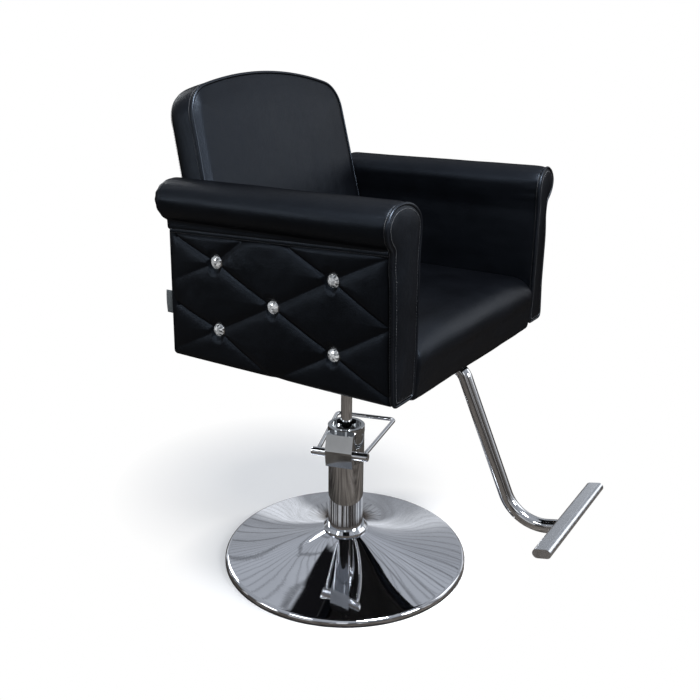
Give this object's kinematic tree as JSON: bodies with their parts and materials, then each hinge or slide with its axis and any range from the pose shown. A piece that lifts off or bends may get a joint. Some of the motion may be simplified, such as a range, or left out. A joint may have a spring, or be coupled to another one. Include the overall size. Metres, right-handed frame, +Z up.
{
  "type": "styling chair",
  "caption": "Salon styling chair: padded seat with scroll arms, crystal-buttoned quilted sides, hydraulic pump on a round chrome base, T-bar footrest.",
  "frame": {"origin": "on the floor, on the axis of the hydraulic pump", "axes": "+Z up, the sitter faces -Y, +X to the sitter's left"},
  "size_m": [0.713, 0.8182, 1.0737],
  "materials": {
    "chrome": "mirror-polished chrome plate",
    "steel_bright": "ground",
    "steel_dark": "satin black paint",
    "black_steel": "satin black powder coat",
    "zinc": "zinc-plated",
    "rubber_black": "matt",
    "black_plastic": "moulded",
    "wood": "bare plywood",
    "black_vinyl": "satin fine-grained vinyl-coated upholstery cloth over foam",
    "black_cambric": "plain weave",
    "crystal_glass": "faceted clear crystal"
  },
  "bodies": {
    "base": {"base_dish": "chrome", "ballast_plate": "steel_dark", "rim_gasket": "rubber_black", "base_collar": "chrome", "pump_foot": "steel_dark", "pump_foot_bolts": "zinc", "pump_tube": "chrome", "inner_cylinder": "steel_bright", "plunger_barrel": "steel_bright", "pump_head": "chrome", "rod_seal": "rubber_black"},
    "lift": {"piston_rod": "chrome", "piston": "steel_bright", "piston_seal": "rubber_black"},
    "lever": {"lever_shaft": "chrome", "lever_cam": "steel_dark", "foot_lever": "chrome"},
    "plunger": {"pump_plunger": "steel_bright"},
    "seat": {"swivel_hub": "black_steel", "mount_plate": "black_steel", "mount_bolts": "zinc", "seat_frame": "wood", "seat_board": "wood", "dust_cover": "black_cambric", "seat_cushion": "black_vinyl", "arm_frame_right": "wood", "arm_frame_left": "wood", "arm_bolts": "zinc", "arm_side_panel_right": "black_vinyl", "arm_side_panel_left": "black_vinyl", "arm_inner_pad_right": "black_vinyl", "arm_inner_pad_left": "black_vinyl", "arm_scroll_right": "black_vinyl", "arm_scroll_left": "black_vinyl", "arm_facing_right": "black_vinyl", "arm_facing_left": "black_vinyl", "arm_rear_pad_right": "black_vinyl", "arm_rear_pad_left": "black_vinyl", "crystal_cups_right": "chrome", "crystal_cups_left": "chrome", "crystals_right": "crystal_glass", "crystals_left": "crystal_glass", "blank_tab": "black_cambric", "back_board": "wood", "back_pad": "black_vinyl", "back_rear_pad": "black_vinyl", "back_brackets": "black_steel", "back_bolts": "zinc", "footrest_plate": "black_steel", "footrest_bolts": "zinc", "footrest_tube": "chrome", "footrest_plugs": "black_plastic", "footrest_bar": "chrome", "footrest_caps": "chrome"}
  },
  "joints": [
    {"name": "pump_lift", "type": "slide", "parent": "base", "child": "lift", "axis": [0, 0, 1], "range_m": [-0.14, 0.012]},
    {"name": "seat_swivel", "type": "hinge", "parent": "lift", "child": "seat", "pos_m": [0, 0, 0.5], "axis": [0, 0, 1], "continuous": true},
    {"name": "lever_pivot", "type": "hinge", "parent": "base", "child": "lever", "pos_m": [-0.04781, -0.01464, 0.28], "axis": [0.2927, -0.9562, 0], "range_deg": [-28, 0], "stiffness_Nm_per_rad": 6, "springref_deg": 14.32},
    {"name": "plunger_slide", "type": "slide", "parent": "base", "child": "plunger", "axis": [0, 0, 1], "range_m": [-0.0106, 0]}
  ],
  "couplings": [
    {"joint": "plunger_slide", "follows": "lever_pivot", "m_per_rad": 0.0211}
  ]
}
